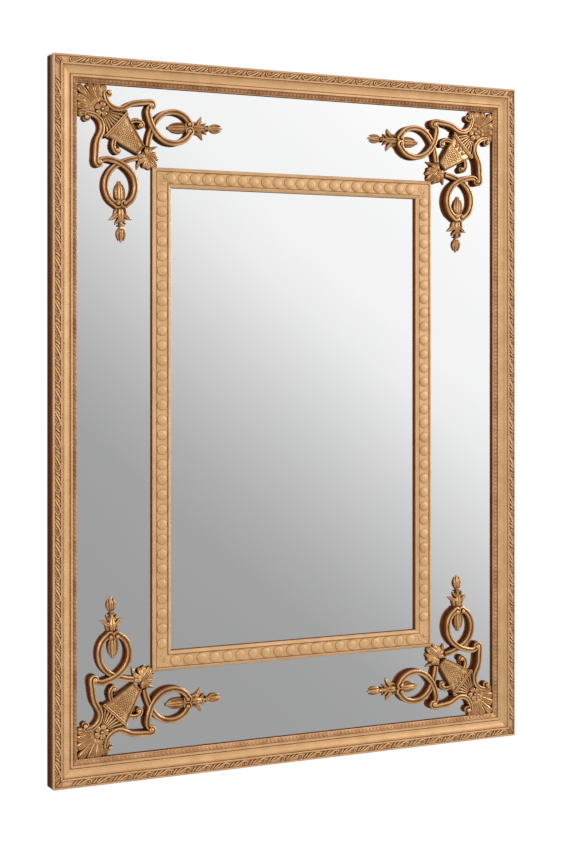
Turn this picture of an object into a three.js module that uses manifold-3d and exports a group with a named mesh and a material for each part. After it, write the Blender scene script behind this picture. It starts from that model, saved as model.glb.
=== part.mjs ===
// Wall mirror with gilt mouldings: a rectangular centre mirror inside a disc-carved inner frame, four
// margin mirrors round it, a carved outer frame, four openwork corner ornaments, and the backing, fixings
// and hangers. Millimetres. The panel is drawn with x to the right, y up from the bottom edge and z out
// from the wall, and the whole group is then turned so that +Z is up, the front faces -Y and the origin
// lies at the hook line.

import * as THREE from "three";
import { mergeVertices } from "three/addons/utils/BufferGeometryUtils.js";
import Module from "manifold-3d";

// ---- driving dimensions ----

const MIRROR_WIDTH = 900;
const MIRROR_HEIGHT = 1200;
const FIT = 0.3; // gap left between pieces that seat on each other
const PLAY = 0.5; // room round the glass and the board in their rebates
const SLIVER = 0.05; // facets thinner than this are left out of joined bodies

// Outer frame section: t is measured inwards from the outer edge, the rise from the glass face.
const OUTER_FRAME_WIDTH = 44.4;
const OUTER_FRAME_DEPTH = 27.3;
const FRONT_EDGE_RISE = 12.9;
const EDGE_BREAK = 0.9; // small bevel along an outer edge
const CARVED_BAND_RISE = 16;
const CARVED_BAND_WIDTH = 15.4;
const BEAD_WIDTH = 3.4;
const BEAD_RISE = 1.3;
const BEAD_FOOT_DROP = 1.5; // foot of the bead and of the band, below the band's crown
const COVE_WIDTH = 11.6;
const COVE_RISE = 9.2;
const QUIRK_WIDTH = 1.4; // narrow groove between cove and fillet
const FILLET_WIDTH = 3.6;
const FILLET_RISE = 10.8;
const LIP_RISE = 6.8;
const REBATE_WIDTH = 8;

// Inner frame section, on the same terms, from its own outer edge.
const MARGIN_WIDTH = 133; // glass seen between the two frames
const INNER_FRAME_WIDTH = 33.3;
const INNER_OUTER_EDGE_RISE = 5;
const INNER_SIGHT_EDGE_RISE = 6.1;
const INNER_RIDGE_RISE = 9.4;
const INNER_BAND_WIDTH = 4.6; // plain sloped band along each edge
const INNER_QUIRK_WIDTH = 2.4; // groove between each band and the ground
const INNER_GROUND_RISE = 8.6;
const INNER_REBATE_WIDTH = 6.8;
const DISC_RADIUS = 9.4;
const DISC_RISE = 11.6;
const DISC_BEVEL = 1;
const DISC_SIDES = 8;

// The discs are carved to a different pitch on each inner rail. Each row stands in from the corners of the
// disc lines by its end, and its whole run is shifted along the rail.
const DISC_ROWS = {
  bottom: { pitch: 24.2, end: 26, shift: -2.2 },
  right: { pitch: 25, end: 31, shift: 8.7 },
  top: { pitch: 22.2, end: 22.5, shift: 6.8 },
  left: { pitch: 25, end: 31, shift: 0.9 },
};

// Glass, backing and what stands behind.
const GLASS_THICKNESS = 4;
const BOARD_THICKNESS = 9;
const PAD_RADIUS = 10;
const WALL_GAP = 8; // the pads hold the frame's back this far off the wall
const PAD_INSET = 90; // pad centre from the end of its rail
const FIXING_INSET = 18; // line of pads, clips and hangers on the back of a rail, from its outer edge

// Fixings.
const SCREW_SHANK_RADIUS = 1.75;
const SCREW_HEAD_RADIUS = 3.5;
const SCREW_HEAD_HEIGHT = 2;
const SCREW_LENGTH = 14;
const SCREW_SIDES = 6;
const CLIP_THICKNESS = 1.2;
const CLIP_WIDTH = 16;
const CLIP_REACH = 10; // how far a clip laps over the board
const CLIP_INSET = 200; // clip centre from the end of its rail
const KEY_LENGTH = 26;
const KEY_END_WIDTH = 12;
const KEY_WAIST_WIDTH = 6;
const KEY_DEPTH = 8;
const INNER_SCREW_INSET = 150; // long inner rails have a screw this far from each end

// D-ring hangers.
const HANGER_DROP = 260; // ring axis below the top edge
const STRAP_WIDTH = 16;
const STRAP_THICKNESS = 1.5;
const STRAP_LENGTH = 66;
const STRAP_SCREW_INSETS = [32, 10]; // screws, up from the strap's lower end
const RING_WIRE_RADIUS = 1.75;
const RING_INNER_WIDTH = 20;
const RING_STRAIGHT = 8;
const RING_CORNER_RADIUS = 3;
const RING_CLEARANCE = 0.35;
const RING_WIRE_SIDES = 6;

// Corner ornament, drawn on a margin of this width from the corner of the sight opening.
const ORNAMENT_MARGIN = 133;
const ORNAMENT_SCROLL_RISE = 13;
const ORNAMENT_PANEL_RISE = 10.5;
const ORNAMENT_SHELL_RISE = 10;
const ORNAMENT_LEAF_RISE = 8.5;
const ORNAMENT_SCROLL_HALF_WIDTH = 4.8;
const ORNAMENT_ARM_AXIS = 67.5; // each arm runs this far inside the sight edge
const ORNAMENT_HUB = 39.5; // rosette centre, from both sight edges

// The ornaments are set by hand, each a little turned (degrees) and shifted from its drawn place.
const ORNAMENT_PLACES = {
  top_left: { turn: 2.2, shift: [3.8, 1.4] },
  top_right: { turn: 2.4, shift: [3.2, 1.5] },
  bottom_left: { turn: -2.5, shift: [0.7, 3.7] },
  bottom_right: { turn: 1.4, shift: [4.2, -0.8] },
};

// ---- levels, out from the wall ----

const frameBack = WALL_GAP;
const glassFace = frameBack + OUTER_FRAME_DEPTH - FRONT_EDGE_RISE;
const glassBack = glassFace - GLASS_THICKNESS;
const boardFace = glassBack - FIT;
const boardBack = boardFace - BOARD_THICKNESS;
const outerRebate = OUTER_FRAME_WIDTH - REBATE_WIDTH;
const innerFrameEdge = OUTER_FRAME_WIDTH + MARGIN_WIDTH;
const sightEdge = innerFrameEdge + INNER_FRAME_WIDTH;

const ringAxisHeight = MIRROR_HEIGHT - HANGER_DROP;
const ringReach = RING_STRAIGHT + RING_INNER_WIDTH / 2 + RING_WIRE_RADIUS;
const hookHeight = ringAxisHeight + ringReach - RING_WIRE_RADIUS;

// ---- materials ----

function material(color, roughness, metalness) {
  return new THREE.MeshStandardMaterial({ color, roughness, metalness });
}

const gilt = material(0xd2a473, 0.45, 0.35);
const giltOrnament = material(0xa87848, 0.5, 0.35);
const silvered = material(0xd8dcdf, 0.05, 1);
const fibreboard = material(0x8a6a4a, 0.85, 0);
const steel = material(0xb8babd, 0.35, 1);
const feltPad = material(0x4a4540, 0.95, 0);

// ---- closed bodies ----

const wasm = await Module();
wasm.setup();

function signedVolume(position, index) {
  const a = new THREE.Vector3();
  const b = new THREE.Vector3();
  const c = new THREE.Vector3();
  let volume = 0;
  for (let i = 0; i < index.length; i += 3) {
    a.fromBufferAttribute(position, index[i]);
    b.fromBufferAttribute(position, index[i + 1]);
    c.fromBufferAttribute(position, index[i + 2]);
    volume += a.dot(b.cross(c)) / 6;
  }
  return volume;
}

// Shared vertices are merged, faces that have closed up to a line are dropped, and all faces point out.
function closed(geometry) {
  const bare = geometry.clone();
  bare.deleteAttribute("normal");
  bare.deleteAttribute("uv");
  const merged = mergeVertices(bare, 1e-4);
  const faces = [];
  for (let i = 0; i < merged.index.count; i += 3) {
    const [a, b, c] = [0, 1, 2].map((k) => merged.index.getX(i + k));
    if (a !== b && b !== c && c !== a) faces.push(a, b, c);
  }
  const inside = signedVolume(merged.attributes.position, faces) < 0;
  merged.setIndex(inside ? faces.reverse() : faces);
  return merged;
}

function solid(geometry) {
  const body = closed(geometry);
  return new wasm.Manifold(new wasm.Mesh({
    numProp: 3,
    vertProperties: Float32Array.from(body.attributes.position.array),
    triVerts: Uint32Array.from(body.index.array),
  }));
}

function geometryOf(manifold) {
  const mesh = manifold.getMesh();
  const geometry = new THREE.BufferGeometry();
  geometry.setAttribute("position", new THREE.BufferAttribute(Float32Array.from(mesh.vertProperties), 3));
  geometry.setIndex(Array.from(mesh.triVerts));
  return closed(geometry);
}

// Slivers finer than this are merged away where bodies meet.
function trimmed(manifold) {
  return geometryOf(manifold.asOriginal().simplify(SLIVER));
}

function join(geometries) {
  return trimmed(geometries.map(solid).reduce((whole, next) => whole.add(next)));
}

function cut(geometry, tools) {
  return trimmed(tools.map(solid).reduce((whole, tool) => whole.subtract(tool), solid(geometry)));
}

// Skin over a row of rings, each a closed outline with the same number of points, with both ends capped.
function loft(rings, outline) {
  const count = outline.length;
  const last = (rings.length - 1) * count;
  const index = [];
  for (let ring = 0; ring < last; ring += count) {
    for (let i = 0; i < count; i += 1) {
      const next = (i + 1) % count;
      index.push(ring + i, ring + next, ring + count + next);
      index.push(ring + i, ring + count + next, ring + count + i);
    }
  }
  const flat = outline.map(([x, y]) => new THREE.Vector2(x, y));
  for (const [a, b, c] of THREE.ShapeUtils.triangulateShape(flat, [])) {
    index.push(a, c, b);
    index.push(last + a, last + b, last + c);
  }
  // The caps take the outline's own winding, so the walls are turned to match it.
  if (THREE.ShapeUtils.isClockWise(flat)) {
    for (let i = 0; i < last * 6; i += 3) [index[i], index[i + 1]] = [index[i + 1], index[i]];
  }
  const geometry = new THREE.BufferGeometry();
  const places = rings.flat().flatMap((point) => point.toArray());
  geometry.setAttribute("position", new THREE.Float32BufferAttribute(places, 3));
  geometry.setIndex(index);
  return closed(geometry);
}

// Shape of revolution standing on z, from [radius, height] points that start and end on the axis.
function turned(profile, sides) {
  const points = profile.map(([radius, height]) => new THREE.Vector2(radius, height));
  return new THREE.LatheGeometry(points, sides).rotateX(Math.PI / 2);
}

function box(width, height, depth, x, y, z) {
  return new THREE.BoxGeometry(width, height, depth).translate(x, y, z);
}

// ---- mouldings and plates, each mitred at both ends ----

// A side of the mirror in its own frame: x along it, y inwards from the outer edge, z out from the wall.
const SIDES = {
  bottom: { length: MIRROR_WIDTH, turn: 0, x: 0, y: 0, discs: DISC_ROWS.bottom },
  right: {
    length: MIRROR_HEIGHT, turn: Math.PI / 2, x: MIRROR_WIDTH / 2, y: MIRROR_HEIGHT / 2,
    discs: DISC_ROWS.right,
  },
  top: { length: MIRROR_WIDTH, turn: Math.PI, x: 0, y: MIRROR_HEIGHT, discs: DISC_ROWS.top },
  left: {
    length: MIRROR_HEIGHT, turn: -Math.PI / 2, x: -MIRROR_WIDTH / 2, y: MIRROR_HEIGHT / 2,
    discs: DISC_ROWS.left,
  },
};

// Bar of constant section [inset, level] along a side of the given length, with half the fit off each mitre.
function mitredBar(section, length) {
  const back = FIT / 2 * Math.SQRT2;
  const end = (way) => section.map(([inset, level]) => {
    const x = way * (length / 2 - inset - back);
    return new THREE.Vector3(x, inset, level);
  });
  return loft([end(-1), end(1)], section);
}

function arcPoints(centre, radiusX, radiusY, from, to, steps) {
  return Array.from({ length: steps + 1 }, (_, i) => {
    const angle = from + (to - from) * i / steps;
    return [centre[0] + radiusX * Math.cos(angle), centre[1] + radiusY * Math.sin(angle)];
  });
}

// Carved band, bead, cove, quirk, fillet, sloping sight edge, then the rebate and the back.
function outerSection() {
  const rise = (height) => glassFace + height;
  const bandEnd = CARVED_BAND_WIDTH;
  const beadEnd = bandEnd + BEAD_WIDTH;
  const coveEnd = beadEnd + COVE_WIDTH;
  const filletStart = coveEnd + QUIRK_WIDTH;
  const filletEnd = filletStart + FILLET_WIDTH;
  const beadFoot = rise(CARVED_BAND_RISE - BEAD_FOOT_DROP);
  const crownCentre = [(bandEnd + EDGE_BREAK) / 2, beadFoot];
  const crown = arcPoints(crownCentre, (bandEnd - EDGE_BREAK) / 2, BEAD_FOOT_DROP, Math.PI, 0, 6);
  const bead = arcPoints([bandEnd + BEAD_WIDTH / 2, beadFoot], BEAD_WIDTH / 2, BEAD_RISE, Math.PI, 0, 4);
  const coveFall = beadFoot - rise(COVE_RISE);
  const cove = arcPoints([coveEnd, beadFoot], COVE_WIDTH, coveFall, Math.PI, Math.PI * 1.5, 5);
  return [
    [0, frameBack],
    [0, rise(FRONT_EDGE_RISE - EDGE_BREAK)],
    [EDGE_BREAK, rise(FRONT_EDGE_RISE)],
    ...crown,
    ...bead.slice(1),
    ...cove.slice(1),
    [coveEnd + QUIRK_WIDTH / 2, rise(COVE_RISE) - QUIRK_WIDTH / 2],
    [filletStart, rise(FILLET_RISE) - QUIRK_WIDTH / 2],
    [filletStart + QUIRK_WIDTH / 2, rise(FILLET_RISE)],
    [filletEnd, rise(FILLET_RISE)],
    [filletEnd + QUIRK_WIDTH / 2, rise(FILLET_RISE) - QUIRK_WIDTH],
    [OUTER_FRAME_WIDTH, rise(LIP_RISE)],
    [OUTER_FRAME_WIDTH, rise(FIT)],
    [outerRebate, rise(FIT)],
    [outerRebate, frameBack],
  ];
}

// Sloped band, quirk, flat ground for the discs, quirk, sloped band, then a tongue down between the plates.
function innerSection() {
  const rise = (height) => glassFace + height;
  const inset = (across) => innerFrameEdge + across;
  const far = INNER_FRAME_WIDTH;
  const band = INNER_BAND_WIDTH;
  const quirk = INNER_QUIRK_WIDTH;
  const third = quirk / 3;
  return [
    [inset(0), rise(FIT)],
    [inset(0), rise(INNER_OUTER_EDGE_RISE)],
    [inset(EDGE_BREAK), rise(INNER_OUTER_EDGE_RISE) + EDGE_BREAK],
    [inset(band), rise(INNER_RIDGE_RISE)],
    [inset(band + third), rise(INNER_RIDGE_RISE)],
    [inset(band + 2 * third), rise(INNER_GROUND_RISE) - third],
    [inset(band + quirk), rise(INNER_GROUND_RISE)],
    [inset(far - band - quirk), rise(INNER_GROUND_RISE)],
    [inset(far - band - 2 * third), rise(INNER_GROUND_RISE) - third],
    [inset(far - band - third), rise(INNER_RIDGE_RISE)],
    [inset(far - band), rise(INNER_RIDGE_RISE)],
    [inset(far - EDGE_BREAK), rise(INNER_SIGHT_EDGE_RISE) + EDGE_BREAK],
    [inset(far), rise(INNER_SIGHT_EDGE_RISE)],
    [inset(far), rise(FIT)],
    [inset(far - INNER_REBATE_WIDTH), rise(FIT)],
    [inset(far - INNER_REBATE_WIDTH), glassBack],
    [inset(INNER_REBATE_WIDTH), glassBack],
    [inset(INNER_REBATE_WIDTH), rise(FIT)],
  ];
}

// Low round coins in a row down the middle of an inner rail.
function discRow(length, { pitch, end, shift }) {
  const middle = innerFrameEdge + INNER_FRAME_WIDTH / 2;
  const run = length - 2 * (middle + end);
  const gaps = Math.round(run / pitch);
  const foot = INNER_GROUND_RISE - DISC_BEVEL;
  const coin = turned([
    [0, foot],
    [DISC_RADIUS, foot],
    [DISC_RADIUS - DISC_BEVEL, DISC_RISE - DISC_BEVEL / 2],
    [0, DISC_RISE],
  ], DISC_SIDES).translate(0, middle, glassFace);
  return Array.from({ length: gaps + 1 }, (_, i) => (
    coin.clone().translate(run * (i / gaps - 0.5) + shift, 0, 0)));
}

// ---- fixings ----

// Pan head screw driven towards +z: the head bears on level 0 and the shank runs into the wood.
function screw() {
  return turned([
    [0, -SCREW_HEAD_HEIGHT],
    [SCREW_HEAD_RADIUS - 1, -SCREW_HEAD_HEIGHT],
    [SCREW_HEAD_RADIUS, 0],
    [SCREW_SHANK_RADIUS, 0],
    [SCREW_SHANK_RADIUS, SCREW_LENGTH - 3],
    [0, SCREW_LENGTH],
  ], SCREW_SIDES);
}

function screwHole(x, y, from, to) {
  const radius = SCREW_SHANK_RADIUS + FIT;
  return turned([[0, from], [radius, from], [radius, to], [0, to]], SCREW_SIDES).translate(x, y, 0);
}

function pilotHole(x, y) {
  return screwHole(x, y, frameBack - 1, frameBack + SCREW_LENGTH + FIT);
}

// Bow-tie key let into the back of a mitre, across the joint; grown by the fit it cuts its own pocket.
function mitreKey(grow) {
  const half = KEY_LENGTH / 2 + grow;
  const end = KEY_END_WIDTH / 2 + grow;
  const waist = KEY_WAIST_WIDTH / 2 + grow;
  const outline = [[-half, -end], [0, -waist], [half, -end], [half, end], [0, waist], [-half, end]];
  const level = (z) => outline.map(([x, y]) => new THREE.Vector3(x, y, z));
  return loft([level(frameBack - (grow ? 1 : 0)), level(frameBack + KEY_DEPTH + grow)], outline);
}

// Offset clip: its foot is screwed to the rail and its tongue steps in to bear on the board.
function clip() {
  const footFace = frameBack - FIT;
  const tongueFace = boardBack - FIT;
  const foot = footFace - CLIP_THICKNESS;
  const tongue = tongueFace - CLIP_THICKNESS;
  const start = FIXING_INSET - CLIP_WIDTH / 2;
  const step = outerRebate + PLAY;
  const end = step + CLIP_REACH;
  const section = [
    [start, foot], [step, foot], [step + 2, tongue], [end, tongue],
    [end, tongueFace], [step + 1.4, tongueFace], [step - 0.6, footFace], [start, footFace],
  ];
  const edge = (x) => section.map(([inset, level]) => new THREE.Vector3(x, inset, level));
  const plate = loft([edge(-CLIP_WIDTH / 2), edge(CLIP_WIDTH / 2)], section);
  return cut(plate, [screwHole(0, FIXING_INSET, foot - 1, footFace + 1)]);
}

// Chamfered round pad between the frame's back and the wall.
function pad() {
  const top = frameBack - FIT;
  return turned([[0, 0], [PAD_RADIUS - 1.5, 0], [PAD_RADIUS, 1.5], [PAD_RADIUS, top], [0, top]], 12);
}

// ---- D-ring hangers ----

const strapFace = frameBack - FIT;
const strapBack = strapFace - STRAP_THICKNESS;
const strapScrewDrops = STRAP_SCREW_INSETS.map((inset) => STRAP_LENGTH - inset);
const loopBore = RING_WIRE_RADIUS + RING_CLEARANCE;
const ringLevel = strapBack - loopBore;

// Steel strap screwed to the rail, its top rolled into an open loop round the ring's bar. Seen from its
// side the section runs along the plate, over the outside of the loop and back inside it; the ring's axis
// is at y 0.
function strapHanger() {
  const centre = [0, ringLevel];
  const outer = loopBore + STRAP_THICKNESS;
  const section = [
    [-STRAP_LENGTH, strapBack],
    [-STRAP_LENGTH, strapFace],
    ...arcPoints(centre, outer, outer, Math.PI / 2, -Math.PI * 7 / 6, 8),
    ...arcPoints(centre, loopBore, loopBore, -Math.PI * 7 / 6, Math.PI / 2, 8),
  ];
  const edge = (x) => section.map(([up, level]) => new THREE.Vector3(x, up, level));
  const strip = loft([edge(-STRAP_WIDTH / 2), edge(STRAP_WIDTH / 2)], section);
  return cut(strip, strapScrewDrops.map((drop) => screwHole(0, -drop, strapBack - 1, strapFace + 1)));
}

// D-shaped wire loop hanging from its straight bar, which lies on x through the origin.
function dRing() {
  const half = RING_INNER_WIDTH / 2 + RING_WIRE_RADIUS;
  const corner = RING_CORNER_RADIUS;
  const path = [
    ...arcPoints([half - corner, -corner], corner, corner, Math.PI / 2, 0, 3),
    ...arcPoints([0, -RING_STRAIGHT], half, half, 0, -Math.PI, 10),
    ...arcPoints([corner - half, -corner], corner, corner, Math.PI, Math.PI / 2, 3),
  ];
  const count = path.length;
  const positions = [];
  const index = [];
  path.forEach(([x, y], i) => {
    const before = path[(i + count - 1) % count];
    const after = path[(i + 1) % count];
    const along = new THREE.Vector2(after[0] - before[0], after[1] - before[1]).normalize();
    for (let side = 0; side < RING_WIRE_SIDES; side += 1) {
      const angle = (side + 0.5) / RING_WIRE_SIDES * 2 * Math.PI;
      const out = RING_WIRE_RADIUS * Math.cos(angle);
      positions.push(x - along.y * out, y + along.x * out, RING_WIRE_RADIUS * Math.sin(angle));
      const next = (side + 1) % RING_WIRE_SIDES;
      const here = i * RING_WIRE_SIDES;
      const ahead = (i + 1) % count * RING_WIRE_SIDES;
      index.push(here + side, here + next, ahead + next);
      index.push(here + side, ahead + next, ahead + side);
    }
  });
  const ring = new THREE.BufferGeometry();
  ring.setAttribute("position", new THREE.Float32BufferAttribute(positions, 3));
  ring.setIndex(index);
  return closed(ring);
}

// ---- corner ornament ----

// Sections across a strip, [side from -1 to 1, share of the height]: a scroll has raised rims, a bud is
// round.
const SCROLL_SECTION = [[-1, 0], [1, 0], [0.9, 1], [0, 0.86], [-0.9, 1]];
const BUD_SECTION = [[-1, 0], [1, 0], [0.75, 0.7], [0, 1], [-0.75, 0.7]];

// Centre lines, [u, v] from the corner of the sight opening. An arm's points are [reach, offset from its
// axis].
const C_SCROLL = [
  [47.5, 12], [47, 19], [50, 27], [56, 34], [64.5, 38], [73, 38],
  [81.5, 34.5], [90, 30], [102, 27.5], [117, 27], [127, 29.5],
];
const ARM_OUTER_SCROLL = [
  [127, -37.5], [121.5, -28], [122.5, -16], [126.5, -3], [134, 9.5],
  [146.5, 21], [161.5, 26], [177.5, 24.5], [190.5, 17.5], [198, 6.5],
];
const ARM_INNER_SCROLL = [
  [119, 32], [122, 18], [127.5, 3], [134, -9.5],
  [146.5, -21], [161.5, -26], [177.5, -24.5], [190.5, -17.5], [198, -6.5],
];
const SIDE_STEM = [[89, 61], [95.5, 57.5], [105, 57], [112.5, 61.5], [114, 67]];
const BUD_LINE = [[156, 0], [196, 0]];
const FINIAL_LINE = [[196, 0], [260, 0]];
const CROSS_LEAVES = [[221.5, -17], [218, 0], [221.5, 17]];
const LEAF_HORN = [[113, 103], [124, 104], [132, 101.5], [138, 100]];
const SHARED_VOLUTE = { at: [127, 30], radius: 8 }; // where the outline scroll meets an arm
const TAIL_VOLUTE = { at: [54, 9.5], radius: 6.5 };
const STEM_VOLUTE = { at: [111.5, 68], radius: 4.8 };
const ARM_VOLUTE = { at: [195.5, 5.4], radius: 5 }; // one to each side of the arm's axis
const KITE = [[84, 47], [113, 99.5], [99.5, 113], [47, 84]];
const BASE_BAR = [[84, 45], [45, 84]];
const SHELL_LOBES = [[-53, 38.5], [-34, 39.5], [-17, 44], [0, 52.5], [17, 44], [34, 39.5], [53, 38.5]];
const SHELL_WAIST = 17; // reach of the shell to either side of its hub
const LEAF_CENTRE = 116.5;
const LEAF_TIPS = [[0, 23.5], [48, 17], [100, 16.5], [155, 17], [205, 17], [260, 16.5], [312, 17]];
const FLUTE_COUNT = 4;

function mix(values, share) {
  const at = share * (values.length - 1);
  const low = Math.min(Math.floor(at), values.length - 2);
  return values[low] + (values[low + 1] - values[low]) * (at - low);
}

function arm(points) {
  return points.map(([reach, offset]) => [reach, ORNAMENT_ARM_AXIS + offset]);
}

// Strip of relief along a smooth line, its half width and height given as lists spread over its length.
function strip(points, halfWidths, heights, section, steps) {
  const line = new THREE.SplineCurve(points.map(([u, v]) => new THREE.Vector2(u, v)));
  const rings = Array.from({ length: steps + 1 }, (_, step) => {
    const share = step / steps;
    const at = line.getPointAt(share);
    const along = line.getTangentAt(share);
    const half = mix(halfWidths, share);
    const height = mix(heights, share);
    return section.map(([side, rise]) => new THREE.Vector3(
      at.x - along.y * side * half, at.y + along.x * side * half, rise * height));
  });
  return loft(rings, section);
}

// Round boss with a raised eye: the rolled end of a scroll.
function volute({ at: [u, v], radius }, height) {
  return turned([[0, 0], [radius, 0], [radius * 0.94, height], [0, height + 1]], 6).translate(u, v, 0);
}

// Boss drawn by spokes from its centre, [angle in degrees, reach, share of the height], in levels of
// [share of the reach, height]. Long and short, high and low spokes in turn make lobes and flutes.
function boss([u, v], spokes, levels) {
  const ring = ([reachShare, height]) => spokes.map(([degrees, reach, rise]) => {
    const angle = THREE.MathUtils.degToRad(degrees);
    const radius = reach * reachShare;
    return new THREE.Vector3(u + radius * Math.cos(angle), v + radius * Math.sin(angle), height * rise);
  });
  return loft(levels.map(ring), spokes.map(([degrees, reach]) => {
    const angle = THREE.MathUtils.degToRad(degrees);
    return [reach * Math.cos(angle), reach * Math.sin(angle)];
  }));
}

// Scallop shell in the corner, its lobes fanning from the rosette, with flutes running back to the base bar.
function shell() {
  const spokes = [];
  const [from, to] = BASE_BAR;
  const barDistance = Math.abs(from[0] + from[1] - 2 * ORNAMENT_HUB) / Math.SQRT2;
  const barHalf = Math.hypot(to[0] - from[0], to[1] - from[1]) / 2;
  const halfSpread = THREE.MathUtils.radToDeg(Math.atan2(barHalf, barDistance));
  for (let i = 0; i <= 2 * FLUTE_COUNT; i += 1) {
    const off = halfSpread * (i / FLUTE_COUNT - 1);
    spokes.push([45 + off, barDistance / Math.cos(THREE.MathUtils.degToRad(off)), i % 2 ? 1 : 0.8]);
  }
  spokes.push([128, SHELL_WAIST, 0.8]);
  SHELL_LOBES.forEach(([off, reach], i) => {
    spokes.push([225 + off, reach, 1]);
    const next = SHELL_LOBES[i + 1];
    if (next) spokes.push([225 + (off + next[0]) / 2, (reach + next[1]) / 2 - 4, 0.7]);
  });
  spokes.push([322, SHELL_WAIST, 0.8]);
  const rise = ORNAMENT_SHELL_RISE;
  return boss([ORNAMENT_HUB, ORNAMENT_HUB], spokes, [[1, 0], [1, rise - 2.5], [0.25, rise + 1.5]]);
}

// Sunk panel with a raised border, over the bar that ends the flutes.
function kitePanel() {
  const centre = [0, 1].map((axis) => KITE.reduce((sum, corner) => sum + corner[axis], 0) / KITE.length);
  const spokes = KITE.map(([u, v]) => {
    const [du, dv] = [u - centre[0], v - centre[1]];
    return [THREE.MathUtils.radToDeg(Math.atan2(dv, du)), Math.hypot(du, dv), 1];
  });
  const border = ORNAMENT_PANEL_RISE + 2;
  return [
    boss(centre, spokes, [[1, 0], [1, border], [0.84, border], [0.8, ORNAMENT_PANEL_RISE]]),
    strip(BASE_BAR, [2.8, 2.8], [border + 0.4, border + 0.4], SCROLL_SECTION, 1),
  ];
}

// Acanthus head at the foot of the kite, its long tip towards the corner of the inner frame.
function leafHead() {
  const spokes = LEAF_TIPS.flatMap(([off, reach], i) => {
    const next = LEAF_TIPS[(i + 1) % LEAF_TIPS.length];
    const gap = (next[0] - off + 360) % 360;
    return [[45 + off, reach, 1], [45 + off + gap / 2, Math.min(reach, next[1]) - 3, 0.85]];
  });
  return boss([LEAF_CENTRE, LEAF_CENTRE], spokes, [[1, 0], [1, 8], [0.25, 14]]);
}

function rosette() {
  const petals = Array.from({ length: 12 }, (_, i) => [i * 30, i % 2 ? 8.2 : 10.4, i % 2 ? 0.9 : 1]);
  return boss([ORNAMENT_HUB, ORNAMENT_HUB], petals, [[1, 0], [1, 11], [0.35, 13]]);
}

// Open scrolled loop with a bud inside it, and beyond it a finial of calyx, cross leaves and bud. The inner
// scroll passes under the outer one.
function scrolledArm() {
  const width = ORNAMENT_SCROLL_HALF_WIDTH;
  const rise = ORNAMENT_SCROLL_RISE;
  const under = rise * 0.8;
  const leaf = ORNAMENT_LEAF_RISE;
  const { at: [curlReach, curlOffset], radius } = ARM_VOLUTE;
  const curl = (way) => volute({ at: [curlReach, ORNAMENT_ARM_AXIS + way * curlOffset], radius }, rise);
  const finialWidths = [5, 8, 8.4, 5, 3.2, 6.8, 7.6, 1.5];
  const finialRises = [leaf, leaf + 1, leaf, 7, 6, leaf - 0.5, leaf, 4];
  return [
    strip(arm(ARM_OUTER_SCROLL), [width, width], [rise, rise], SCROLL_SECTION, 9),
    strip(arm(ARM_INNER_SCROLL), [width, width], [under, under], SCROLL_SECTION, 7),
    volute(SHARED_VOLUTE, rise + 0.5),
    curl(1),
    curl(-1),
    strip(arm(BUD_LINE), [2, 6, 6.6, 4.6], [5, leaf, leaf + 1, leaf], BUD_SECTION, 3),
    strip(arm(FINIAL_LINE), finialWidths, finialRises, BUD_SECTION, 7),
    strip(arm(CROSS_LEAVES), [1.2, 5.4, 5.4, 1.2], [5, leaf, leaf, 5], BUD_SECTION, 3),
  ];
}

// Half of the ornament above its diagonal: the outline scroll, the side stem and one arm.
function ornamentHalf() {
  const width = ORNAMENT_SCROLL_HALF_WIDTH;
  const rise = ORNAMENT_SCROLL_RISE - 1;
  return [
    strip(C_SCROLL, [width - 1, width], [rise, rise], SCROLL_SECTION, 7),
    volute(TAIL_VOLUTE, ORNAMENT_SCROLL_RISE),
    strip(SIDE_STEM, [3.4, 3, 2.6], [rise - 2, rise - 2], BUD_SECTION, 3),
    volute(STEM_VOLUTE, rise - 1),
    strip(LEAF_HORN, [5, 3.6, 0.8], [11, 8, 5], BUD_SECTION, 2),
    ...scrolledArm(),
  ];
}

// The casting lies just clear of the glass and is stretched in its plane to the real margin.
function cornerOrnament() {
  const half = ornamentHalf();
  const mirrored = half.map((piece) => {
    const copy = piece.clone();
    copy.applyMatrix4(new THREE.Matrix4().set(0, 1, 0, 0, 1, 0, 0, 0, 0, 0, 1, 0, 0, 0, 0, 1));
    return closed(copy);
  });
  const whole = join([
    ...kitePanel(),
    shell(),
    rosette(),
    leafHead(),
    ...half,
    ...mirrored,
  ]);
  const stretch = MARGIN_WIDTH / ORNAMENT_MARGIN;
  return whole.scale(stretch, stretch, 1);
}

// ---- assembly ----

const mirror = new THREE.Group();
mirror.rotation.x = Math.PI / 2;
mirror.position.z = -hookHeight;

function add(parent, name, geometry, finish, x = 0, y = 0, z = 0) {
  const mesh = new THREE.Mesh(geometry, finish);
  mesh.name = name;
  mesh.position.set(x, y, z);
  parent.add(mesh);
  return mesh;
}

// Places along a side where its clips and its pads sit, from the middle of the side.
function pairAlong(length, inset) {
  return [inset - length / 2, length / 2 - inset];
}

const sharedScrew = closed(screw());
const sharedClip = clip();
const sharedPad = closed(pad());
const screwSeat = frameBack - FIT - CLIP_THICKNESS - FIT;

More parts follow.
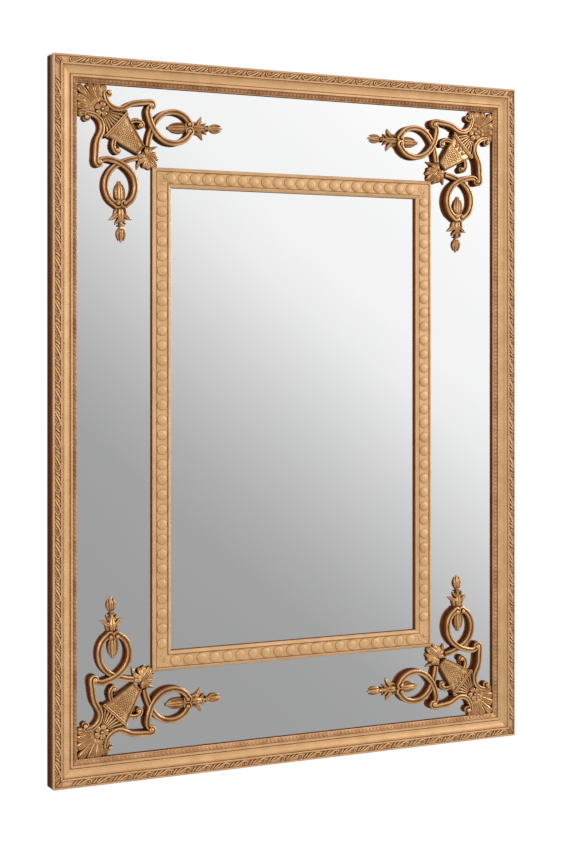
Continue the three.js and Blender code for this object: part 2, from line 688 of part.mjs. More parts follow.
for (const [side, { length, turn, x, y, discs }] of Object.entries(SIDES)) {
  const group = new THREE.Group();
  group.rotation.z = turn;
  group.position.set(x, y, 0);
  mirror.add(group);
  const upright = side === "left" || side === "right";

  // Outer rail, with its screw holes and half a key pocket at each end.
  const keyPocket = (way) => {
    const place = new THREE.Matrix4().makeTranslation(way * (length / 2 - FIXING_INSET), FIXING_INSET, 0);
    place.multiply(new THREE.Matrix4().makeRotationZ(way * Math.PI / 4));
    return mitreKey(FIT).applyMatrix4(place);
  };
  const clipPlaces = pairAlong(length, CLIP_INSET);
  const holes = clipPlaces.map((place) => pilotHole(place, FIXING_INSET));
  if (upright) {
    const up = side === "right" ? 1 : -1;
    for (const drop of strapScrewDrops) {
      holes.push(pilotHole(up * (ringAxisHeight - drop - length / 2), FIXING_INSET));
    }
  }
  const rail = cut(mitredBar(outerSection(), length), [...holes, keyPocket(-1), keyPocket(1)]);
  add(group, `outer_frame_${side}`, rail, gilt);

  // Inner rail, screwed from behind through the board.
  const innerScrews = upright ? pairAlong(length - 2 * innerFrameEdge, INNER_SCREW_INSET) : [0];
  const middle = innerFrameEdge + INNER_FRAME_WIDTH / 2;
  const innerHoles = innerScrews.map(
    (place) => screwHole(place, middle, glassBack - 1, boardBack + SCREW_LENGTH));
  const innerRail = join([mitredBar(innerSection(), length), ...discRow(length, discs)]);
  add(group, `inner_frame_${side}`, cut(innerRail, innerHoles), gilt);
  innerScrews.forEach((place, i) => {
    add(group, `inner_frame_screw_${side}_${i + 1}`, sharedScrew, steel, place, middle, boardBack - FIT);
  });

  // Margin mirror, mitred like the rails and held under the lips of both frames.
  const near = outerRebate + PLAY;
  const far = innerFrameEdge + INNER_REBATE_WIDTH - PLAY;
  const plate = [[near, glassBack], [near, glassFace], [far, glassFace], [far, glassBack]];
  add(group, `margin_mirror_${side}`, mitredBar(plate, length), silvered);

  clipPlaces.forEach((place, i) => {
    add(group, `board_clip_${side}_${i + 1}`, sharedClip, steel, place, 0, 0);
    add(group, `board_clip_screw_${side}_${i + 1}`, sharedScrew, steel, place, FIXING_INSET, screwSeat);
  });
  if (!upright) {
    pairAlong(length, PAD_INSET).forEach((place, i) => {
      add(group, `wall_pad_${side}_${i + 1}`, sharedPad, feltPad, place, FIXING_INSET, 0);
    });
  }
}

const centreInset = sightEdge - INNER_REBATE_WIDTH + PLAY;
const centreY = MIRROR_HEIGHT / 2;
add(mirror, "centre_mirror", closed(new THREE.BoxGeometry(
  MIRROR_WIDTH - 2 * centreInset, MIRROR_HEIGHT - 2 * centreInset, GLASS_THICKNESS,
)), silvered, 0, centreY, glassFace - GLASS_THICKNESS / 2);

// Backing board, drilled for the screws that draw the inner frame down on it.
const boardInset = outerRebate + PLAY;
const boardMiddle = (boardFace + boardBack) / 2;
const innerMiddle = innerFrameEdge + INNER_FRAME_WIDTH / 2;
const boardHole = (x, y) => screwHole(x, y, boardBack - 1, boardFace + 1);
const innerScrewHeights = pairAlong(MIRROR_HEIGHT - 2 * innerFrameEdge, INNER_SCREW_INSET);
add(mirror, "backing_board", cut(
  box(
    MIRROR_WIDTH - 2 * boardInset, MIRROR_HEIGHT - 2 * boardInset, BOARD_THICKNESS,
    0, centreY, boardMiddle),
  [
    boardHole(0, innerMiddle),
    boardHole(0, MIRROR_HEIGHT - innerMiddle),
    ...innerScrewHeights.flatMap((height) => [-1, 1].map((way) => (
      boardHole(way * (MIRROR_WIDTH / 2 - innerMiddle), centreY + height)
    ))),
  ],
), fibreboard);

// Each corner: a key across the mitre at the back, and the ornament over the joint of the margin mirrors.
const ornament = cornerOrnament();
for (const [corner, { turn: degrees, shift }] of Object.entries(ORNAMENT_PLACES)) {
  const wayX = corner.endsWith("left") ? 1 : -1;
  const wayY = corner.startsWith("bottom") ? 1 : -1;
  const cornerX = -wayX * MIRROR_WIDTH / 2;
  const cornerY = wayY > 0 ? 0 : MIRROR_HEIGHT;
  const key = add(
    mirror, `mitre_key_${corner}`, mitreKey(0), steel,
    cornerX + wayX * FIXING_INSET, cornerY + wayY * FIXING_INSET, 0);
  key.rotation.z = -wayX * wayY * Math.PI / 4;

  const turn = THREE.MathUtils.degToRad(-degrees);
  const pivot = ORNAMENT_ARM_AXIS;
  const casting = ornament.clone().translate(-pivot, -pivot, 0).rotateZ(turn).translate(pivot, pivot, 0);
  casting.translate(OUTER_FRAME_WIDTH + shift[0], OUTER_FRAME_WIDTH + shift[1], glassFace + FIT);
  casting.scale(wayX, wayY, 1);
  add(mirror, `corner_ornament_${corner}`, closed(casting), giltOrnament, cornerX, cornerY, 0);
}

// Hangers on the two upright rails, with the rings hanging down.
const sharedStrap = strapHanger();
const sharedRing = dRing();
for (const [side, way] of [["left", -1], ["right", 1]]) {
  const x = way * (MIRROR_WIDTH / 2 - FIXING_INSET);
  add(mirror, `hanger_strap_${side}`, sharedStrap, steel, x, ringAxisHeight, 0);
  add(mirror, `hanger_ring_${side}`, sharedRing, steel, x, ringAxisHeight, ringLevel);
  strapScrewDrops.forEach((drop, i) => {
    const y = ringAxisHeight - drop;
    add(mirror, `hanger_screw_${side}_${i + 1}`, sharedScrew, steel, x, y, strapBack - FIT);
  });
}

export default mirror;
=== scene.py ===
from math import cos, radians, sin

import bpy
from mathutils import Matrix, Vector


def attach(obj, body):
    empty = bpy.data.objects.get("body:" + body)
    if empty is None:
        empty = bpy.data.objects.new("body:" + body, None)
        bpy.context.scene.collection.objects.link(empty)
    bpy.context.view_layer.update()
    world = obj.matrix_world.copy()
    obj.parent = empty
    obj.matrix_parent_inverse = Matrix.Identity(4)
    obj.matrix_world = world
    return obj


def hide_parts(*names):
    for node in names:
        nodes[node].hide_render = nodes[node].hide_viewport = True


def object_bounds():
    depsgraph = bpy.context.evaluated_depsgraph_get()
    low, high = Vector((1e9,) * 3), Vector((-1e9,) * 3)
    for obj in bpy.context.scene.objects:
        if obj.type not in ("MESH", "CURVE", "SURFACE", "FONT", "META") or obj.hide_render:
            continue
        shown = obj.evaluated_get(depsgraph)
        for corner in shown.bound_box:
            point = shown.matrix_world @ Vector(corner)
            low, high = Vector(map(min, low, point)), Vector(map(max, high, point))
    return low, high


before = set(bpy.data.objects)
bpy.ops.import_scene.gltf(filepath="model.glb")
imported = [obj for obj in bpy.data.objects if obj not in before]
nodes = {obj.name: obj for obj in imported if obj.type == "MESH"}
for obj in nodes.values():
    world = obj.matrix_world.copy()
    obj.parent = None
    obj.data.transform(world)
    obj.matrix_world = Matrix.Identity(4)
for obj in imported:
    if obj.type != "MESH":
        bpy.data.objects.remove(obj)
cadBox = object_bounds()
mm = 0.001
weldReach = 0.004 * mm  # corners closer than this become one

# the panel's own axes: x to the right, y up from the bottom edge, z out from the wall
panelPlace = Matrix.Translation((0, 0, cadBox[0].z)) @ Matrix.Rotation(radians(90), 4, "X")


def deselectAll():
    if bpy.context.object and bpy.context.object.mode != "OBJECT":
        bpy.ops.object.mode_set(mode="OBJECT")
    bpy.ops.object.select_all(action="DESELECT")


def pick(piece):
    deselectAll()
    piece.select_set(True)
    bpy.context.view_layer.objects.active = piece


def editAll(piece):
    pick(piece)
    bpy.ops.object.mode_set(mode="EDIT")
    bpy.ops.mesh.select_all(action="SELECT")


def leaveEdit():
    bpy.ops.object.mode_set(mode="OBJECT")


def tidyMesh(piece):
    editAll(piece)
    bpy.ops.mesh.remove_doubles(threshold=weldReach)
    bpy.ops.mesh.normals_make_consistent(inside=False)
    leaveEdit()


def smoothBy(piece, angle):
    pick(piece)
    bpy.ops.object.shade_smooth_by_angle(angle=radians(angle))


def applyPlace(piece):
    pick(piece)
    bpy.ops.object.transform_apply(location=True, rotation=True, scale=True)


def joinPieces(name, pieces):
    deselectAll()
    for piece in pieces:
        piece.select_set(True)
    bpy.context.view_layer.objects.active = pieces[0]
    if len(pieces) > 1:
        bpy.ops.object.join()
    joined = bpy.context.object
    joined.name = name
    joined.data.name = name
    return joined


def copyPiece(piece, name):
    twin = piece.copy()
    twin.data = piece.data.copy()
    twin.name = name
    twin.data.name = name
    bpy.context.collection.objects.link(twin)
    return twin


def putAt(piece, place):
    # moves a mesh to its place and leaves its object at the origin
    piece.matrix_world = place @ piece.matrix_world
    applyPlace(piece)
    if place.determinant() < 0:
        editAll(piece)
        bpy.ops.mesh.normals_make_consistent(inside=False)
        leaveEdit()


def dress(piece, material):
    piece.data.materials.clear()
    piece.data.materials.append(material)


# level, from the mirror's left; the shift brings the frame's foot into view
view = {"place": (-1.3540, -2.6877, -0.2388), "yaw": 26.444, "lens": 72.94, "shiftDown": 0.0873}


def setCamera():
    turn = (radians(90), 0, -radians(view["yaw"]))
    bpy.ops.object.camera_add(location=view["place"], rotation=turn)
    camera = bpy.context.object
    camera.data.sensor_fit = "AUTO"
    camera.data.sensor_width = 36
    camera.data.lens = view["lens"]
    camera.data.shift_y = -view["shiftDown"]
    bpy.context.scene.camera = camera
    print("camera set")


black, white = (0, 0, 0, 1), (1, 1, 1, 1)


def newMaterial(name):
    material = bpy.data.materials.new(name)
    material.use_nodes = True
    tree = material.node_tree
    return material, tree.nodes, tree.links, tree.nodes["Principled BSDF"]


def colour(red, green, blue):
    # an 8 bit screen colour as Blender's linear one
    def linear(value):
        value /= 255
        return value / 12.92 if value <= 0.04045 else ((value + 0.055) / 1.055) ** 2.4
    return (linear(red), linear(green), linear(blue), 1)


def noise(made, links, place, scale, detail):
    cloud = made.new("ShaderNodeTexNoise")
    cloud.inputs["Scale"].default_value = scale
    cloud.inputs["Detail"].default_value = detail
    links.new(place.outputs["Object"], cloud.inputs["Vector"])
    return cloud.outputs["Fac"]


def ramp(made, links, source, stops):
    shades = made.new("ShaderNodeValToRGB")
    elements = shades.color_ramp.elements
    for index, (position, tone) in enumerate(stops):
        stop = elements[index] if index < 2 else elements.new(position)
        stop.position = position
        stop.color = tone
    links.new(source, shades.inputs["Fac"])
    return shades.outputs["Color"]


def cosineWith(made, links, direction, aim):
    turned = made.new("ShaderNodeVectorMath")
    turned.operation = "DOT_PRODUCT"
    turned.inputs[1].default_value = aim
    links.new(direction, turned.inputs[0])
    return turned.outputs["Value"]


def calculate(made, links, operation, first, second=0.0):
    # first is a socket, second a socket or a number
    step = made.new("ShaderNodeMath")
    step.operation = operation
    step.use_clamp = operation == "ADD"
    links.new(first, step.inputs[0])
    if isinstance(second, float):
        step.inputs[1].default_value = second
    else:
        links.new(second, step.inputs[1])
    return step.outputs[0]


def ranged(made, links, source, fromSpan, toSpan=(0, 1), smooth=False):
    share = made.new("ShaderNodeMapRange")
    share.interpolation_type = "SMOOTHSTEP" if smooth else "LINEAR"
    for socket, value in zip(("From Min", "From Max", "To Min", "To Max"), (*fromSpan, *toSpan)):
        share.inputs[socket].default_value = value
    links.new(source, share.inputs["Value"])
    return share.outputs["Result"]


def blendColours(made, links, factor, first, second):
    # first and second are sockets or colours
    mix = made.new("ShaderNodeMix")
    mix.data_type = "RGBA"
    for socket, source in (("A", first), ("B", second)):
        if isinstance(source, tuple):
            mix.inputs[socket].default_value = source
        else:
            links.new(source, mix.inputs[socket])
    links.new(factor, mix.inputs["Factor"])
    return mix.outputs["Result"]


def addBump(made, links, shader, height, depth):
    bump = made.new("ShaderNodeBump")
    bump.inputs["Strength"].default_value = 0.3
    bump.inputs["Distance"].default_value = depth
    links.new(height, bump.inputs["Height"])
    links.new(bump.outputs["Normal"], shader.inputs["Normal"])


# what all the gilding has: cloud and grain as scale and detail, and the cosines to the front
# between which a surface turns into a side wall
gilding = {
    "clouds": (38, 6), "cloudSpan": (0.36, 0.6), "grain": (420, 4), "grainDepth": 0.0004,
    "sideSpan": (0.05, 0.55), "hollowSamples": 8, "specular": 0.25,
}

# screen colours of the leaf, where it is rubbed, of the hollows and of the side walls; the last two
# partly painted shade
mouldingLook = {
    "leaf": (222, 178, 128), "rubbed": (212, 166, 116), "recess": (166, 84, 40),
    "wall": (86, 46, 26), "metallic": 0.2, "roughness": 0.5,
    "recessReach": 0.003, "recessSpan": (0.2, 0.85),
}
innerLook = dict(mouldingLook, recess=(134, 82, 42), recessSpan=(0.2, 0.88))
# painted shade for the sight edge's slope, and a lighter copy of it for the sides where that slope
# shows more lit
sightEdgeShadeLook = dict(
    mouldingLook, leaf=(182, 130, 86), rubbed=(148, 98, 60), recess=(84, 42, 18), recessReach=0.002)
lighterEdgeShadeLook = dict(sightEdgeShadeLook, leaf=(206, 156, 112), rubbed=(176, 126, 84), recess=(104, 56, 26))
castingLook = {
    "leaf": (226, 176, 122), "rubbed": (190, 136, 84), "recess": (70, 30, 7),
    "wall": (90, 44, 18), "metallic": 0.4, "roughness": 0.34,
    "recessReach": 0.005, "recessSpan": (0.32, 0.92),
}
kiteLook = dict(
    castingLook, leaf=(234, 188, 132), rubbed=(210, 158, 102), recess=(98, 52, 18),
    recessReach=0.0024)


def giltMaterial(name, look):
    material, made, links, shader = newMaterial(name)
    place = made.new("ShaderNodeTexCoord")
    clouds = noise(made, links, place, *gilding["clouds"])
    tones = zip(gilding["cloudSpan"], (colour(*look["rubbed"]), colour(*look["leaf"])))
    leaf = ramp(made, links, clouds, tones)
    # darker where the surface turns away to the sides, partly the sides' own brown and partly
    # painted shade, and in the hollows
    turned = cosineWith(made, links, place.outputs["Normal"], (0, -1, 0))
    facing = ramp(made, links, turned, zip(gilding["sideSpan"], (black, white)))
    walled = blendColours(made, links, facing, colour(*look["wall"]), leaf)
    # painted shade in the hollows: by how closed in each point is, the colour turns to the recess
    # brown, partly the glaze antiqued gilding has there
    shade = made.new("ShaderNodeAmbientOcclusion")
    shade.samples = gilding["hollowSamples"]
    shade.only_local = True
    shade.inputs["Distance"].default_value = look["recessReach"]
    depth = ramp(made, links, shade.outputs["AO"], zip(look["recessSpan"], (black, white)))
    gold = blendColours(made, links, depth, colour(*look["recess"]), walled)
    links.new(gold, shader.inputs["Base Color"])
    grain = noise(made, links, place, *gilding["grain"])
    addBump(made, links, shader, grain, gilding["grainDepth"])
    # the hollows and the sides hardly shine: the same masks, painted shade in part, dim their sheen
    clear = calculate(made, links, "MULTIPLY", depth, facing)
    for socket, amount in (
            ("Metallic", look["metallic"]), ("Specular IOR Level", gilding["specular"])):
        links.new(calculate(made, links, "MULTIPLY", clear, amount), shader.inputs[socket])
    shader.inputs["Roughness"].default_value = look["roughness"]
    return material


def mirrorMaterial():
    # bright silvering under the faintest cloud
    material, made, links, shader = newMaterial("silvered glass")
    film = noise(made, links, made.new("ShaderNodeTexCoord"), 3, 3)
    stops = [(0.3, colour(249, 250, 250)), (0.7, colour(252, 252, 252))]
    links.new(ramp(made, links, film, stops), shader.inputs["Base Color"])
    shader.inputs["Metallic"].default_value = 1
    shader.inputs["Roughness"].default_value = 0
    return material


hiddenLooks = {
    "fibreboard": {
        "light": (170, 134, 96), "dark": (136, 104, 72), "clouds": 240, "grain": 900,
        "roughness": 0.8, "metallic": 0},
    "zinc": {
        "light": (196, 197, 200), "dark": (160, 162, 166), "clouds": 160, "grain": 700,
        "roughness": 0.34, "metallic": 1},
    "rubber": {
        "light": (66, 62, 58), "dark": (46, 43, 40), "clouds": 120, "grain": 800,
        "roughness": 0.75, "metallic": 0},
}


def wornMaterial(name, look):
    # a plain stuff with its own mottling and grain
    material, made, links, shader = newMaterial(name)
    place = made.new("ShaderNodeTexCoord")
    clouds = noise(made, links, place, look["clouds"], 5)
    stops = [(0.35, colour(*look["dark"])), (0.65, colour(*look["light"]))]
    links.new(ramp(made, links, clouds, stops), shader.inputs["Base Color"])
    grain = noise(made, links, place, look["grain"], 3)
    span = (look["roughness"] - 0.08, look["roughness"] + 0.08)
    links.new(ranged(made, links, grain, (0, 1), span), shader.inputs["Roughness"])
    addBump(made, links, shader, grain, 0.0002)
    shader.inputs["Metallic"].default_value = look["metallic"]
    return material


studio = {
    "fill": 0.34,
    "floorColour": (240, 240, 240), "floorDrop": 1.0, "floorRadius": 2.2, "floorWhite": (0.6, 1.6),
    "lights": {
        "right light": ((3.7, -2.7, 0.9), 118),
        "left light": ((-3.3, -2.9, 0.7), 70),
        "back light": ((-1.4, 3.4, 1.2), 90),
    },
    "lightSize": 1.8, "lightAim": (0, 0, -0.36),
    # what the plates show of the studio: greys along one direction, by the cosine with it
    "fallToward": (0.695, 0, 0.719), "greySpan": (0.13, 0.44),
    "greys": [
        (0.06, 0.355), (0.145, 0.368), (0.23, 0.381), (0.32, 0.439), (0.4, 0.517), (0.49, 0.621),
        (0.58, 0.744), (0.665, 0.863), (0.75, 0.928), (0.84, 0.935), (1, 0.99)],
    "aheadSpan": (0.15, 0.45),
}


def whiteLight(made, strength=1.0):
    light = made.new("ShaderNodeBackground")
    light.inputs["Color"].default_value = white
    light.inputs["Strength"].default_value = strength
    return light


def mixShaders(made, links, factor, first, second):
    mix = made.new("ShaderNodeMixShader")
    links.new(factor, mix.inputs["Fac"])
    links.new(first.outputs[0], mix.inputs[1])
    links.new(second.outputs[0], mix.inputs[2])
    return mix


def setWorld():
    world = bpy.data.worlds.new("studio")
    world.use_nodes = True
    bpy.context.scene.world = world
    made, links = world.node_tree.nodes, world.node_tree.links
    made.clear()
    direction = made.new("ShaderNodeTexCoord").outputs["Generated"]
    # the studio that the plates reflect: white, and grey low down in front, the same to either side
    apart = made.new("ShaderNodeSeparateXYZ")
    links.new(direction, apart.inputs[0])
    folded = made.new("ShaderNodeCombineXYZ")
    links.new(calculate(made, links, "ABSOLUTE", apart.outputs["X"]), folded.inputs["X"])
    links.new(apart.outputs["Z"], folded.inputs["Z"])
    fall = cosineWith(made, links, folded.outputs[0], studio["fallToward"])
    stops = [(at, (grey, grey, grey, 1)) for at, grey in studio["greys"]]
    greys = ramp(made, links, ranged(made, links, fall, studio["greySpan"]), stops)
    ahead = cosineWith(made, links, direction, (0, -1, 0))
    ahead = ranged(made, links, ahead, studio["aheadSpan"], smooth=True)
    reflected = whiteLight(made)
    links.new(blendColours(made, links, ahead, white, greys), reflected.inputs["Color"])
    # the camera sees plain white, reflections see that studio, and all else gets the fill
    rays = made.new("ShaderNodeLightPath").outputs
    shiny = calculate(made, links, "ADD", rays["Is Glossy Ray"], rays["Is Transmission Ray"])
    lit = mixShaders(made, links, shiny, whiteLight(made, studio["fill"]), reflected)
    seen = mixShaders(made, links, rays["Is Camera Ray"], lit, whiteLight(made))
    output = made.new("ShaderNodeOutputWorld")
    links.new(seen.outputs[0], output.inputs["Surface"])


def floorMaterial():
    # plain near the object, where it takes a shadow, and as white as the background beyond
    material, made, links, shader = newMaterial("pale floor")
    shader.inputs["Base Color"].default_value = colour(*studio["floorColour"])
    shader.inputs["Roughness"].default_value = 0.9
    shader.inputs["Specular IOR Level"].default_value = 0
    away = made.new("ShaderNodeVectorMath")
    away.operation = "LENGTH"
    links.new(made.new("ShaderNodeTexCoord").outputs["Object"], away.inputs[0])
    far = ranged(made, links, away.outputs["Value"], studio["floorWhite"], smooth=True)
    rays = made.new("ShaderNodeLightPath").outputs
    seen = calculate(made, links, "ADD", rays["Is Camera Ray"], rays["Is Glossy Ray"])
    seen = calculate(made, links, "ADD", seen, rays["Is Transmission Ray"])
    shine = made.new("ShaderNodeEmission")
    shine.inputs["Color"].default_value = white
    mix = mixShaders(made, links, calculate(made, links, "MULTIPLY", far, seen), shader, shine)
    links.new(mix.outputs[0], made["Material Output"].inputs["Surface"])
    return material


def setStudio():
    setWorld()
    bpy.ops.mesh.primitive_circle_add(
        vertices=96, radius=studio["floorRadius"], fill_type="NGON",
        location=(0, 0, cadBox[0].z - studio["floorDrop"]))
    floor = bpy.context.object
    floor.name = "floor"
    dress(floor, floorMaterial())

    for name, (place, power) in studio["lights"].items():
        bpy.ops.object.light_add(type="AREA", location=place)
        light = bpy.context.object
        light.name = name
        light.data.shape = "DISK"
        light.data.size = studio["lightSize"]
        light.data.energy = power
        light.visible_camera = False
        aim = Vector(studio["lightAim"]) - light.location
        light.rotation_euler = aim.to_track_quat("-Z", "Y").to_euler()
    print("studio set")


def drawOutline(points, filled=False):
    # closed outline of straight lines
    bpy.ops.curve.primitive_bezier_curve_add()
    outline = bpy.context.object
    outline.data.splines.remove(outline.data.splines[0])
    line = outline.data.splines.new("POLY")
    line.points.add(len(points) - 1)
    for corner, (x, y) in zip(line.points, points):
        corner.co = (x, y, 0, 1)
    line.use_cyclic_u = True
    outline.data.dimensions = "2D"
    outline.data.fill_mode = "BOTH" if filled else "NONE"
    return outline


def toMesh(curve):
    pick(curve)
    bpy.ops.object.convert(target="MESH")
    return bpy.context.object


def spread(values, share):
    at = share * (len(values) - 1)
    low = min(int(at), len(values) - 2)
    return values[low] + (values[low + 1] - values[low]) * (at - low)


def along(line, widths, section, steps=4, straight=False):
    # a section carried along a line of (x, y) or (x, y, height) in mm; its half width and its
    # height grow with the widths, which are spread over the line
    bpy.ops.curve.primitive_bezier_curve_add()
    path = bpy.context.object
    run = path.data.splines[0]
    run.bezier_points.add(len(line) - 2)
    for index, (point, place) in enumerate(zip(run.bezier_points, line)):
        point.co = [value * mm for value in (*place, 0)[:3]]
        point.radius = spread(widths, index / (len(line) - 1)) * mm
        point.handle_left_type = point.handle_right_type = "VECTOR" if straight else "AUTO"
    path.data.dimensions = "3D"
    path.data.twist_mode = "Z_UP"
    path.data.resolution_u = steps
    path.data.bevel_mode = "OBJECT"
    path.data.bevel_object = section
    path.data.use_fill_caps = True
    return toMesh(path)


def mirrored(points):
    # a section drawn from its middle line to the right, with its left half mirrored from it
    return [(-x, y) for x, y in reversed(points) if x > 0] + points


def scrollSection(tall):
    # flat sides, a broad round rim along each edge and a dark channel between
    return drawOutline(mirrored([
        (0, tall - 0.5), (0.16, tall - 0.46), (0.27, tall - 0.16), (0.38, tall - 0.02),
        (0.58, tall), (0.8, tall - 0.07), (0.94, tall - 0.22), (1, tall - 0.42), (1, 0)]))


def leafSection(tall):
    # round back with a fine vein down the middle
    return drawOutline(mirrored([
        (0, tall * 0.82), (0.1, tall * 0.95), (0.26, tall), (0.52, tall * 0.93),
        (0.78, tall * 0.72), (0.95, tall * 0.4), (1, 0)]))


def lobeSection(tall):
    # round back with three fine grooves, as a shell's lobe
    return drawOutline(mirrored([
        (0, tall * 0.8), (0.1, tall * 0.98), (0.26, tall), (0.36, tall * 0.8), (0.46, tall * 0.97),
        (0.66, tall * 0.9), (0.86, tall * 0.68), (0.97, tall * 0.36), (1, 0)]))


def roundSection(tall):
    return drawOutline(mirrored([(0, tall), (0.4, tall * 0.92), (0.75, tall * 0.66), (1, 0)]))


def ribSection(tall):
    return drawOutline(mirrored([(0, tall), (0.62, tall * 0.88), (1, 0)]))


def plate(corners, height):
    # flat block with eased edges, its corners in mm
    ease = 0.8
    outline = drawOutline([(corner[0] * mm, corner[1] * mm) for corner in corners], filled=True)
    outline.data.extrude = (height / 2 - ease) * mm
    outline.data.bevel_depth = ease * mm
    outline.data.bevel_resolution = 1
    outline.data.offset = -ease * mm
    block = toMesh(outline)
    block.location.z = height / 2 * mm
    applyPlace(block)
    return block


def ball(centre, height, radius, flat=1.0, segments=12):
    bpy.ops.mesh.primitive_uv_sphere_add(
        segments=segments, ring_count=segments // 2 + 1, radius=radius * mm,
        location=(centre[0] * mm, centre[1] * mm, height * mm))
    bead = bpy.context.object
    bead.scale.z = flat
    applyPlace(bead)
    return bead


def curl(centre, start, turns, fromRadius, toRadius, count=9):
    # points that wind in round a centre, start in degrees, turns positive to the left
    points = []
    for step in range(count):
        share = step / (count - 1)
        angle = radians(start + 360 * turns * share)
        radius = fromRadius + (toRadius - fromRadius) * share
        points.append((centre[0] + radius * cos(angle), centre[1] + radius * sin(angle)))
    return points


def arc(centreX, centreY, reachX, reachY, start, end, steps):
    # points of a moulding's arc, angles in degrees
    angles = [radians(start + (end - start) * step / steps) for step in range(steps + 1)]
    return [(centreX + reachX * cos(angle), centreY + reachY * sin(angle)) for angle in angles]


def clearOutlines():
    # the drawn sections have done their work
    for outline in [piece for piece in bpy.data.objects if piece.type == "CURVE"]:
        bpy.data.objects.remove(outline)


def bisectAt(piece, place, normal):
    # cuts away what lies beyond a plane and closes the cut, the plane's place in mm
    editAll(piece)
    bpy.ops.mesh.bisect(
        plane_co=[value * mm for value in place], plane_no=normal, use_fill=True, clear_outer=True)
    leaveEdit()


panel = {"wide": 900, "high": 1200, "glassFace": 22.4, "mitreGap": 0.15}

# each side's own axes: x along it, y inward from its outer edge, z out from the glass; all in mm
sides = {
    "bottom": {"middle": (0, 0), "turn": 0, "length": panel["wide"]},
    "right": {"middle": (panel["wide"] / 2, panel["high"] / 2), "turn": 90,
              "length": panel["high"]},
    "top": {"middle": (0, panel["high"]), "turn": 180, "length": panel["wide"]},
    "left": {"middle": (-panel["wide"] / 2, panel["high"] / 2), "turn": -90,
             "length": panel["high"]},
}


def sidePlace(side):
    x, y = sides[side]["middle"]
    turned = Matrix.Rotation(radians(sides[side]["turn"]), 4, "Z")
    return panelPlace @ Matrix.Translation((x * mm, y * mm, panel["glassFace"] * mm)) @ turned


def rail(side, section):
    length = sides[side]["length"]
    ends = [(-length / 2 - 1, 0), (length / 2 + 1, 0)]
    run = along(ends, [1, 1], section, straight=True)
    tidyMesh(run)
    for way in (-1, 1):
        # square to each diagonal, a hair short of the neighbour
        bisectAt(run, (way * (length / 2 - panel["mitreGap"] * 2 ** 0.5), 0, 0), (way, 1, 0))
    return run


def finishRail(name, side, pieces, material, replaced, edgeShade=None):
    whole = joinPieces(name, pieces)
    applyPlace(whole)
    smoothBy(whole, 36)
    dress(whole, material)
    if edgeShade:
        # painted shade: the sight edge's slope is darker
        whole.data.materials.append(edgeShade)
        low, high = outerRail["shadedStretch"]
        for face in whole.data.polygons:
            if low * mm < face.center.y < high * mm and face.normal.z > 0.3:
                face.material_index = 1
    putAt(whole, sidePlace(side))
    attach(whole, "frame")
    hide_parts(replaced)


outerRail = {
    "back": -14.4, "ground": 12.0, "toe": 44.4, "cornerRadius": 4,
    # the stretch of the sight edge that takes painted shade, and the sides that take a lighter copy
    # of it, where the slope shows more lit
    "shadedStretch": (36.5, 43.4), "lighterShadeSides": ("right", "bottom"),
    # where the first eye of the carving lies along each side, and the carving's pitch
    "carving": {
        "bottom": (-387.2, 35.38), "right": (-505.7, 35.42),
        "top": (-366.4, 35.57), "left": (-533.0, 35.78),
    },
    "mitreLeaf": {"span": (4.4, 12.6), "halfWidth": 1.5, "tall": 2.2, "clear": 14},
    "bead": {"pitch": 7.27, "inset": 40.3, "rise": 7.3, "half": (3.2, 2.9, 1.5), "tilt": -20},
}


def outerSection():
    # (inset, rise) from the wall over the rim, carved ground, bead, cove, fillets and sight edge
    ground, back = outerRail["ground"], outerRail["back"]
    points = [
        (0, back), (0, 11.6), (0.25, 12.6), (1.0, 13.6), (2.0, 14.4), (3.0, 14.7), (3.6, 14.3),
        (3.9, ground), (13.3, ground), (13.5, 13.6)]
    points += arc(15.2, 13.9, 1.7, 1.6, 165, 10, 6)
    points += [(17.0, 12.8), (17.7, 12.8), (17.9, 14.0), (18.4, 14.3)]
    points += arc(30.4, 14.6, 11.8, 5.4, 187, 270, 10)
    points += [
        (30.9, 8.2), (31.6, 8.2), (31.8, 10.2), (32.2, 10.8), (35.4, 10.8), (35.8, 10.3),
        (36.0, 8.2), (37.1, 8.0), (37.4, 8.3), (43.6, 6.0), (44.2, 5.5), (44.4, 4.8),
        (outerRail["toe"], 0.3), (36.4, 0.3), (36.4, back)]
    # a section's x grows to the right of its travel, and the inward way is to the left
    return drawOutline([(-inset, rise) for inset, rise in points])


def roundCorners(run, side):
    # the frame's outer corners are eased, half of each on either rail
    radius = outerRail["cornerRadius"]
    for way in (-1, 1):
        for degreesOff in (35, 15):
            out = (way * sin(radians(degreesOff)), -cos(radians(degreesOff)), 0)
            centre = (way * (sides[side]["length"] / 2 - radius), radius)
            bisectAt(run, (centre[0] + out[0] * radius, centre[1] + out[1] * radius, 0), out)


